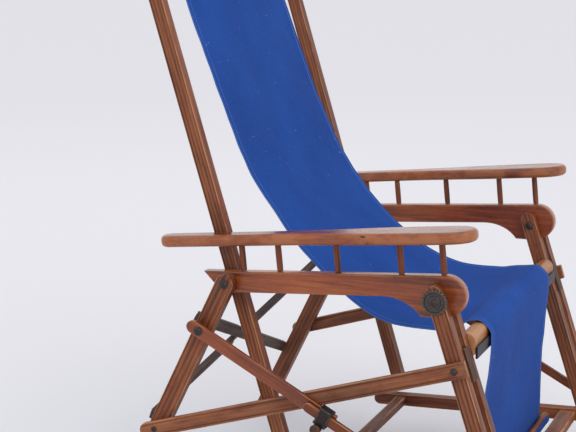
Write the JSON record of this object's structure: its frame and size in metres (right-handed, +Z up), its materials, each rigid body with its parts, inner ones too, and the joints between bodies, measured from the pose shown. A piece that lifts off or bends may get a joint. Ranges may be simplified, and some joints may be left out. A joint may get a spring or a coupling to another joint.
{
  "type": "beach chair",
  "caption": "Folding wooden deck chair with spindle arm galleries, sandwiched front legs, latch stays and a long blue canvas sling.",
  "frame": {"origin": "on the ground, in the middle of the footprint", "axes": "+Z up; the sitter faces -Y; +X to the sitter's left"},
  "size_m": [0.7758, 0.7766, 1.0245],
  "materials": {
    "stained_beech": "dark stained hardwood, waxed, worn pale along the edges",
    "polished_wood": "red-brown hardwood with an old french polish",
    "black_iron": "blackened iron, dull",
    "blue_canvas": "plain-woven blue cotton canvas"
  },
  "bodies": {
    "arm_frame": {"armrest_right": "polished_wood", "armrest_left": "polished_wood", "arm_rail_right": "polished_wood", "arm_rail_left": "polished_wood", "spindle_right_1": "stained_beech", "spindle_right_2": "stained_beech", "spindle_right_3": "stained_beech", "spindle_right_4": "stained_beech", "spindle_right_5": "stained_beech", "spindle_left_1": "stained_beech", "spindle_left_2": "stained_beech", "spindle_left_3": "stained_beech", "spindle_left_4": "stained_beech", "spindle_left_5": "stained_beech", "rear_pivot_bolt_right": "black_iron", "rear_pivot_bolt_left": "black_iron"},
    "front_leg_frame": {"front_leg_outer_right": "stained_beech", "front_leg_outer_left": "stained_beech", "front_leg_inner_right": "stained_beech", "front_leg_inner_left": "stained_beech", "leg_spacer_right": "stained_beech", "leg_spacer_left": "stained_beech", "front_pivot_bolt_right": "black_iron", "front_pivot_bolt_left": "black_iron", "lower_pivot_bolt_right": "black_iron", "lower_pivot_bolt_left": "black_iron", "stay_screw_front_right": "black_iron", "stay_screw_front_left": "black_iron", "latch_bush_right": "black_iron", "latch_bush_left": "black_iron", "seat_rail": "stained_beech", "seat_rail_iron": "black_iron", "hem_rod": "stained_beech", "sling_front": "blue_canvas"},
    "rear_leg_frame": {"rear_leg_right": "stained_beech", "rear_leg_left": "stained_beech", "latch_bolt_rear_right": "black_iron", "latch_bolt_rear_left": "black_iron", "brace_falling": "stained_beech", "brace_rising": "stained_beech"},
    "back_frame": {"back_rail_right": "stained_beech", "back_rail_left": "stained_beech", "top_rail": "stained_beech", "sling_back": "blue_canvas"},
    "lower_frame": {"lower_rail_right": "stained_beech", "lower_rail_left": "stained_beech", "rear_cross_rail": "stained_beech", "front_cross_rail": "stained_beech"},
    "side_stays": {"side_stay_right": "stained_beech", "side_stay_left": "stained_beech"},
    "latch_rear_halves": {"latch_stay_rear_right": "polished_wood", "latch_stay_rear_left": "polished_wood", "latch_clip_right": "black_iron", "latch_clip_left": "black_iron"},
    "latch_front_halves": {"latch_stay_front_right": "stained_beech", "latch_stay_front_left": "stained_beech"},
    "hand_wheel_right": {"hand_wheel_right": "black_iron"},
    "hand_wheel_left": {"hand_wheel_left": "black_iron"},
    "latch_knob_right": {"latch_knob_right": "stained_beech"},
    "latch_knob_left": {"latch_knob_left": "stained_beech"}
  },
  "joints": [
    {"name": "fold", "type": "hinge", "parent": "arm_frame", "child": "front_leg_frame", "pos_m": [0, -0.21945, 0.464], "axis": [-1, 0, 0], "range_deg": [-40, 8], "deforming": ["sling_front"]},
    {"name": "back_fold", "type": "hinge", "parent": "arm_frame", "child": "back_frame", "pos_m": [0, 0.14855, 0.457], "axis": [-1, 0, 0], "range_deg": [-40, 8], "deforming": ["sling_back"]},
    {"name": "rear_leg_fold", "type": "hinge", "parent": "arm_frame", "child": "rear_leg_frame", "pos_m": [0, 0.14855, 0.457], "axis": [-1, 0, 0], "range_deg": [-22.4, 4.48]},
    {"name": "lower_frame_fold", "type": "hinge", "parent": "front_leg_frame", "child": "lower_frame", "pos_m": [0, -0.34145, 0.098], "axis": [-1, 0, 0], "range_deg": [-8, 40]},
    {"name": "side_stay_fold", "type": "hinge", "parent": "front_leg_frame", "child": "side_stays", "pos_m": [0, -0.25544, 0.35603], "axis": [-1, 0, 0], "range_deg": [-6.5, 32.48]},
    {"name": "latch_front_fold", "type": "hinge", "parent": "front_leg_frame", "child": "latch_front_halves", "pos_m": [0, -0.34145, 0.098], "axis": [-1, 0, 0], "range_deg": [-4.48, 22.4]},
    {"name": "latch_rear_fold", "type": "hinge", "parent": "rear_leg_frame", "child": "latch_rear_halves", "pos_m": [0, 0.1874, 0.37702], "axis": [-1, 0, 0], "range_deg": [-0.96, 4.8]},
    {"name": "hand_wheel_turn_right", "type": "hinge", "parent": "front_leg_frame", "child": "hand_wheel_right", "pos_m": [-0.349, -0.21945, 0.464], "axis": [-1, 0, 0], "continuous": true},
    {"name": "latch_knob_turn_right", "type": "hinge", "parent": "latch_rear_halves", "child": "latch_knob_right", "pos_m": [-0.3819, -0.031, 0.23743], "axis": [-1, 0, 0], "continuous": true},
    {"name": "hand_wheel_turn_left", "type": "hinge", "parent": "front_leg_frame", "child": "hand_wheel_left", "pos_m": [0.349, -0.21945, 0.464], "axis": [1, 0, 0], "continuous": true},
    {"name": "latch_knob_turn_left", "type": "hinge", "parent": "latch_rear_halves", "child": "latch_knob_left", "pos_m": [0.3819, -0.031, 0.23743], "axis": [1, 0, 0], "continuous": true}
  ],
  "couplings": [
    {"joint": "back_fold", "follows": "fold", "ratio": 1},
    {"joint": "rear_leg_fold", "follows": "fold", "ratio": 0.56},
    {"joint": "lower_frame_fold", "follows": "fold", "ratio": -1},
    {"joint": "side_stay_fold", "follows": "fold", "ratio": -0.812},
    {"joint": "latch_front_fold", "follows": "fold", "ratio": -0.56},
    {"joint": "latch_rear_fold", "follows": "fold", "ratio": -0.12}
  ]
}
